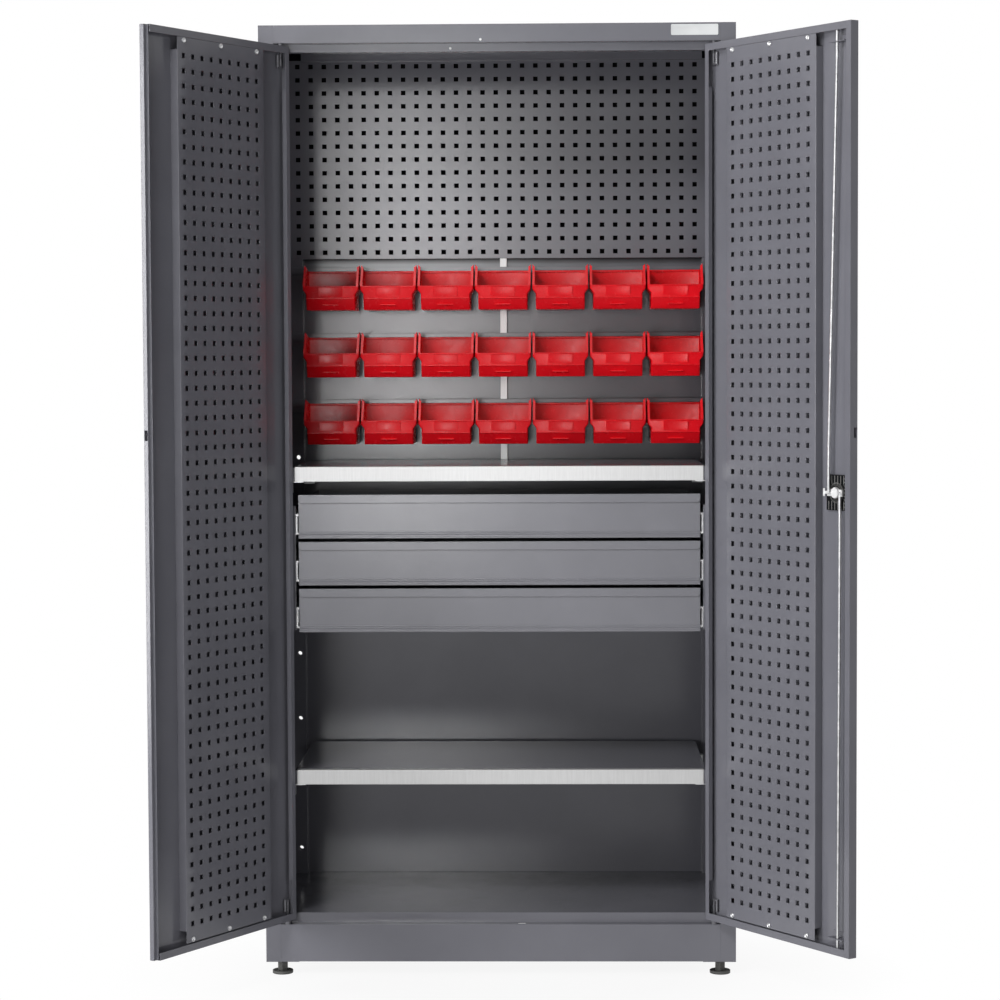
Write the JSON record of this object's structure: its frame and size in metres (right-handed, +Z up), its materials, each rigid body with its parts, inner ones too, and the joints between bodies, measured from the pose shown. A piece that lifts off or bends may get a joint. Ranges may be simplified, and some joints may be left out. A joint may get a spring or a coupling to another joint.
{
  "type": "material storage cabinet",
  "caption": "Steel storage cabinet with two perforated doors, storage bins on rails, drawers, shelves and a tool panel, standing on levelling feet.",
  "frame": {"origin": "middle of the footprint with the doors open as stored, on the floor under the feet", "axes": "+Z up, +Y from the front to the back wall, +X to the right seen from the front"},
  "size_m": [1.4028, 0.8904, 2.012],
  "materials": {
    "anthracite_paint": "satin powder coat, anthracite, finely speckled",
    "drawer_paint": "satin powder coat, mid grey",
    "galvanised": "galvanised sheet",
    "zinc": "bright zinc plating",
    "bin_plastic": "moulded, signal red",
    "black_plastic": "moulded, black"
  },
  "bodies": {
    "carcass": {"side_panel_left": "anthracite_paint", "side_panel_right": "anthracite_paint", "back_wall": "anthracite_paint", "corner_posts": "anthracite_paint", "top_panel": "anthracite_paint", "floor_panel": "anthracite_paint", "levelling_feet": "black_plastic", "back_perforated_panel": "anthracite_paint", "bin_rails": "anthracite_paint", "rail_strut": "galvanised", "shelves": "anthracite_paint", "shelf_trims": "galvanised", "shelf_clips": "zinc", "drawer_cage": "anthracite_paint", "runners_outer": "zinc"},
    "left_door": {"door_left": "anthracite_paint", "door_left_panel": "anthracite_paint", "door_left_screws": "zinc", "door_left_pins": "zinc"},
    "right_door": {"door_right": "anthracite_paint", "door_right_panel": "anthracite_paint", "door_right_screws": "zinc", "door_right_pins": "zinc", "handle_housing": "black_plastic", "rod_guides": "zinc"},
    "handle": {"handle_lever": "black_plastic", "lock_cam": "zinc"},
    "upper_rod": {"lock_rod_upper": "zinc"},
    "lower_rod": {"lock_rod_lower": "zinc"},
    "drawer_1_slide": {"drawer_1": "drawer_paint", "runners_inner_1": "zinc"},
    "runner_1_middle": {"runners_middle_1": "zinc"},
    "drawer_2_slide": {"drawer_2": "drawer_paint", "runners_inner_2": "zinc"},
    "runner_2_middle": {"runners_middle_2": "zinc"},
    "drawer_3_slide": {"drawer_3": "drawer_paint", "runners_inner_3": "zinc"},
    "runner_3_middle": {"runners_middle_3": "zinc"},
    "bin_1_1": {"bin_1_1": "bin_plastic"},
    "bin_1_2": {"bin_1_2": "bin_plastic"},
    "bin_1_3": {"bin_1_3": "bin_plastic"},
    "bin_1_4": {"bin_1_4": "bin_plastic"},
    "bin_1_5": {"bin_1_5": "bin_plastic"},
    "bin_1_6": {"bin_1_6": "bin_plastic"},
    "bin_1_7": {"bin_1_7": "bin_plastic"},
    "bin_2_1": {"bin_2_1": "bin_plastic"},
    "bin_2_2": {"bin_2_2": "bin_plastic"},
    "bin_2_3": {"bin_2_3": "bin_plastic"},
    "bin_2_4": {"bin_2_4": "bin_plastic"},
    "bin_2_5": {"bin_2_5": "bin_plastic"},
    "bin_2_6": {"bin_2_6": "bin_plastic"},
    "bin_2_7": {"bin_2_7": "bin_plastic"},
    "bin_3_1": {"bin_3_1": "bin_plastic"},
    "bin_3_2": {"bin_3_2": "bin_plastic"},
    "bin_3_3": {"bin_3_3": "bin_plastic"},
    "bin_3_4": {"bin_3_4": "bin_plastic"},
    "bin_3_5": {"bin_3_5": "bin_plastic"},
    "bin_3_6": {"bin_3_6": "bin_plastic"},
    "bin_3_7": {"bin_3_7": "bin_plastic"}
  },
  "joints": [
    {"name": "left_door_hinge", "type": "hinge", "parent": "carcass", "child": "left_door", "pos_m": [-0.46659, -0.0498, 1.0436], "axis": [0, 0, -1], "range_deg": [-120.4, 9.6]},
    {"name": "right_door_hinge", "type": "hinge", "parent": "carcass", "child": "right_door", "pos_m": [0.4414, -0.0498, 1.0436], "axis": [0, 0, 1], "range_deg": [-124.7, 5.3]},
    {"name": "handle_turn", "type": "hinge", "parent": "right_door", "child": "handle", "pos_m": [0.66356, -0.37642, 1.0436], "axis": [0.8221, 0.5693, 0], "range_deg": [0, 90]},
    {"name": "upper_rod_eye", "type": "hinge", "parent": "handle", "child": "upper_rod", "pos_m": [0.65388, -0.36245, 1.0436], "axis": [0.8221, 0.5693, 0], "range_deg": [-92, 0]},
    {"name": "lower_rod_eye", "type": "hinge", "parent": "handle", "child": "lower_rod", "pos_m": [0.67324, -0.3904, 1.0436], "axis": [0.8221, 0.5693, 0], "range_deg": [-92, 0]},
    {"name": "drawer_1_pull", "type": "slide", "parent": "carcass", "child": "drawer_1_slide", "axis": [0, -1, 0], "range_m": [0, 0.4]},
    {"name": "runner_1_travel", "type": "slide", "parent": "carcass", "child": "runner_1_middle", "axis": [0, -1, 0], "range_m": [0, 0.2]},
    {"name": "drawer_2_pull", "type": "slide", "parent": "carcass", "child": "drawer_2_slide", "axis": [0, -1, 0], "range_m": [0, 0.4]},
    {"name": "runner_2_travel", "type": "slide", "parent": "carcass", "child": "runner_2_middle", "axis": [0, -1, 0], "range_m": [0, 0.2]},
    {"name": "drawer_3_pull", "type": "slide", "parent": "carcass", "child": "drawer_3_slide", "axis": [0, -1, 0], "range_m": [0, 0.4]},
    {"name": "runner_3_travel", "type": "slide", "parent": "carcass", "child": "runner_3_middle", "axis": [0, -1, 0], "range_m": [0, 0.2]},
    {"name": "bin_1_1_lift", "type": "slide", "parent": "carcass", "child": "bin_1_1", "axis": [0, 0, 1], "range_m": [0, 0.03]},
    {"name": "bin_1_2_lift", "type": "slide", "parent": "carcass", "child": "bin_1_2", "axis": [0, 0, 1], "range_m": [0, 0.03]},
    {"name": "bin_1_3_lift", "type": "slide", "parent": "carcass", "child": "bin_1_3", "axis": [0, 0, 1], "range_m": [0, 0.03]},
    {"name": "bin_1_4_lift", "type": "slide", "parent": "carcass", "child": "bin_1_4", "axis": [0, 0, 1], "range_m": [0, 0.03]},
    {"name": "bin_1_5_lift", "type": "slide", "parent": "carcass", "child": "bin_1_5", "axis": [0, 0, 1], "range_m": [0, 0.03]},
    {"name": "bin_1_6_lift", "type": "slide", "parent": "carcass", "child": "bin_1_6", "axis": [0, 0, 1], "range_m": [0, 0.03]},
    {"name": "bin_1_7_lift", "type": "slide", "parent": "carcass", "child": "bin_1_7", "axis": [0, 0, 1], "range_m": [0, 0.03]},
    {"name": "bin_2_1_lift", "type": "slide", "parent": "carcass", "child": "bin_2_1", "axis": [0, 0, 1], "range_m": [0, 0.03]},
    {"name": "bin_2_2_lift", "type": "slide", "parent": "carcass", "child": "bin_2_2", "axis": [0, 0, 1], "range_m": [0, 0.03]},
    {"name": "bin_2_3_lift", "type": "slide", "parent": "carcass", "child": "bin_2_3", "axis": [0, 0, 1], "range_m": [0, 0.03]},
    {"name": "bin_2_4_lift", "type": "slide", "parent": "carcass", "child": "bin_2_4", "axis": [0, 0, 1], "range_m": [0, 0.03]},
    {"name": "bin_2_5_lift", "type": "slide", "parent": "carcass", "child": "bin_2_5", "axis": [0, 0, 1], "range_m": [0, 0.03]},
    {"name": "bin_2_6_lift", "type": "slide", "parent": "carcass", "child": "bin_2_6", "axis": [0, 0, 1], "range_m": [0, 0.03]},
    {"name": "bin_2_7_lift", "type": "slide", "parent": "carcass", "child": "bin_2_7", "axis": [0, 0, 1], "range_m": [0, 0.03]},
    {"name": "bin_3_1_lift", "type": "slide", "parent": "carcass", "child": "bin_3_1", "axis": [0, 0, 1], "range_m": [0, 0.03]},
    {"name": "bin_3_2_lift", "type": "slide", "parent": "carcass", "child": "bin_3_2", "axis": [0, 0, 1], "range_m": [0, 0.03]},
    {"name": "bin_3_3_lift", "type": "slide", "parent": "carcass", "child": "bin_3_3", "axis": [0, 0, 1], "range_m": [0, 0.03]},
    {"name": "bin_3_4_lift", "type": "slide", "parent": "carcass", "child": "bin_3_4", "axis": [0, 0, 1], "range_m": [0, 0.03]},
    {"name": "bin_3_5_lift", "type": "slide", "parent": "carcass", "child": "bin_3_5", "axis": [0, 0, 1], "range_m": [0, 0.03]},
    {"name": "bin_3_6_lift", "type": "slide", "parent": "carcass", "child": "bin_3_6", "axis": [0, 0, 1], "range_m": [0, 0.03]},
    {"name": "bin_3_7_lift", "type": "slide", "parent": "carcass", "child": "bin_3_7", "axis": [0, 0, 1], "range_m": [0, 0.03]}
  ],
  "couplings": [
    {"joint": "upper_rod_eye", "follows": "handle_turn", "ratio": -1.012},
    {"joint": "lower_rod_eye", "follows": "handle_turn", "ratio": -1.0123},
    {"joint": "runner_1_travel", "follows": "drawer_1_pull", "ratio": 0.5},
    {"joint": "runner_2_travel", "follows": "drawer_2_pull", "ratio": 0.5},
    {"joint": "runner_3_travel", "follows": "drawer_3_pull", "ratio": 0.5}
  ]
}
